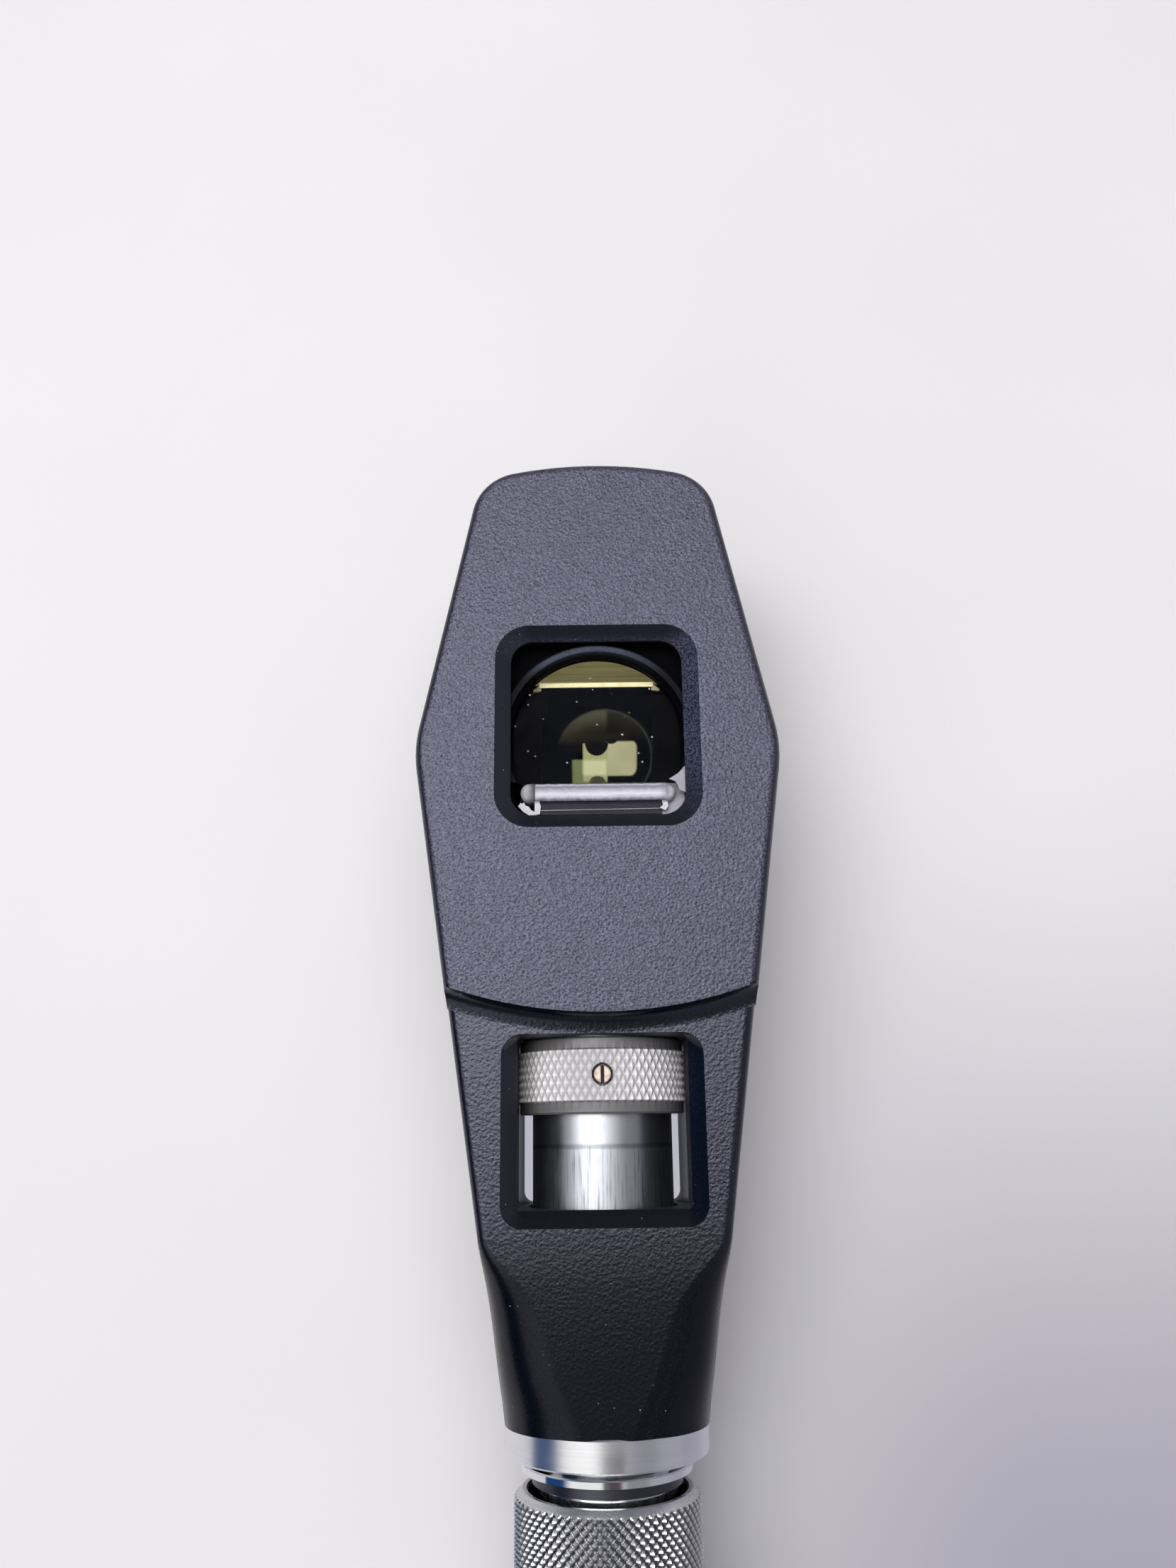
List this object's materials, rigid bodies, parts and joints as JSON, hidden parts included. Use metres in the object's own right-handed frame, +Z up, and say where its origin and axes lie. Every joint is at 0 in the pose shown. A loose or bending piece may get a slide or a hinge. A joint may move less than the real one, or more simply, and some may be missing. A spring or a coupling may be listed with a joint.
{
  "type": "streak retinoscope",
  "caption": "Hand-held streak retinoscope: mirror head with viewing window and knurled focusing sleeve on a bayonet battery handle, lying on its back.",
  "frame": {"origin": "on the table, under the middle of the box round the whole instrument at rest", "axes": "+Y along the instrument's axis from the tail cap towards the top of the head, +Z up, the way the patient's side faces, +X to the right seen from the patient's side with the head up"},
  "size_m": [0.0434, 0.2658, 0.0285],
  "materials": {
    "casting_black": "satin wrinkle black",
    "housing_black": "fine-grained charcoal",
    "satin_aluminium": "satin",
    "polished_steel": "polished",
    "knurled_aluminium": "knurled bright",
    "chrome": "bright",
    "brass": "machined",
    "matte_black": "anti-reflection black",
    "clear_glass": "clear",
    "mirror_gold": "half-silvered, gold tint",
    "olive_foil": "olive film",
    "pale_plastic": "pale grey",
    "cream_ceramic": "cream",
    "rubber_black": "matte",
    "tinned_copper": "copper-tinted",
    "spring_steel": "drawn wire",
    "white_nylon": "natural",
    "battery_blue": "plain sleeve",
    "grip_black": "knurled black"
  },
  "bodies": {
    "head": {"yoke": "casting_black", "housing": "housing_black", "rear_cover": "housing_black", "rear_cover_screws": "polished_steel", "brow_rest": "rubber_black", "housing_screws": "polished_steel", "base_ring": "satin_aluminium", "bayonet_socket": "polished_steel", "bearing_bush": "brass", "window_bezel": "matte_black", "window_glass": "clear_glass", "mirror_plate": "mirror_gold", "mirror_frame": "matte_black", "mirror_clips": "matte_black", "top_baffle": "olive_foil", "light_baffle": "matte_black", "filter_shelf": "matte_black", "filter_slab": "clear_glass", "peephole_glass": "clear_glass", "peephole_ring": "matte_black"},
    "rotor": {"lamp_carrier": "satin_aluminium", "drag_ring": "rubber_black", "lamp_retainer": "brass", "lamp_base": "chrome", "lamp_insulator": "cream_ceramic", "lamp_contact": "tinned_copper", "lamp_block": "cream_ceramic", "filament_posts": "spring_steel", "lamp_filament": "spring_steel", "lamp_bulb": "clear_glass"},
    "sleeve": {"guide_key": "brass", "sleeve_tube": "polished_steel", "sleeve_ring": "knurled_aluminium", "sleeve_screws": "tinned_copper", "condenser_lens": "clear_glass", "lens_retainers": "matte_black"},
    "handle": {"handle_neck": "chrome", "neck_washer": "satin_aluminium", "neck_insulator": "white_nylon", "neck_terminal": "brass", "plunger_spring": "spring_steel", "rheostat_track": "brass", "collar_clip": "spring_steel", "grip_shoulder": "chrome", "button_spring": "spring_steel", "grip_tube": "grip_black", "battery_liner": "white_nylon", "battery_stop": "white_nylon", "feed_rod": "brass", "battery_can": "battery_blue", "battery_terminal": "polished_steel", "tail_insert": "satin_aluminium"},
    "collar": {"rheostat_collar": "knurled_aluminium", "wiper": "brass"},
    "button": {"lock_button": "grip_black"},
    "plunger": {"contact_plunger": "brass"},
    "cap_carriage": {"cap_plate": "brass", "battery_spring": "spring_steel"},
    "cap": {"tail_cap": "chrome", "cap_seal": "rubber_black"}
  },
  "joints": [
    {"name": "streak_turn", "type": "hinge", "parent": "head", "child": "rotor", "pos_m": [0, 0.04713, 0.01425], "axis": [0, 1, 0], "continuous": true},
    {"name": "sleeve_slide", "type": "slide", "parent": "rotor", "child": "sleeve", "axis": [0, -1, 0], "range_m": [0, 0.007]},
    {"name": "handle_turn", "type": "hinge", "parent": "head", "child": "handle", "pos_m": [0, 0.02113, 0.01425], "axis": [0, 1, 0], "range_deg": [0, 60]},
    {"name": "rheostat_turn", "type": "hinge", "parent": "handle", "child": "collar", "pos_m": [0, 0.00912, 0.01425], "axis": [0, 1, 0], "range_deg": [0, 120]},
    {"name": "lock_button_press", "type": "slide", "parent": "handle", "child": "button", "axis": [0, 0, -1], "range_m": [0, 0.001], "stiffness_N_per_m": 500, "springref_m": -0.001, "deforming": ["button_spring"]},
    {"name": "contact_press", "type": "slide", "parent": "handle", "child": "plunger", "axis": [0, -1, 0], "range_m": [0, 0.001], "stiffness_N_per_m": 600, "springref_m": -0.001, "deforming": ["plunger_spring"]},
    {"name": "cap_turn", "type": "hinge", "parent": "cap_carriage", "child": "cap", "pos_m": [0, -0.12287, 0.01425], "axis": [0, -1, 0], "range_deg": [0, 1080]},
    {"name": "cap_travel", "type": "slide", "parent": "handle", "child": "cap_carriage", "axis": [0, -1, 0], "range_m": [0, 0.0045]}
  ],
  "couplings": [
    {"joint": "cap_travel", "follows": "cap_turn", "m_per_rad": 0.00023873}
  ]
}
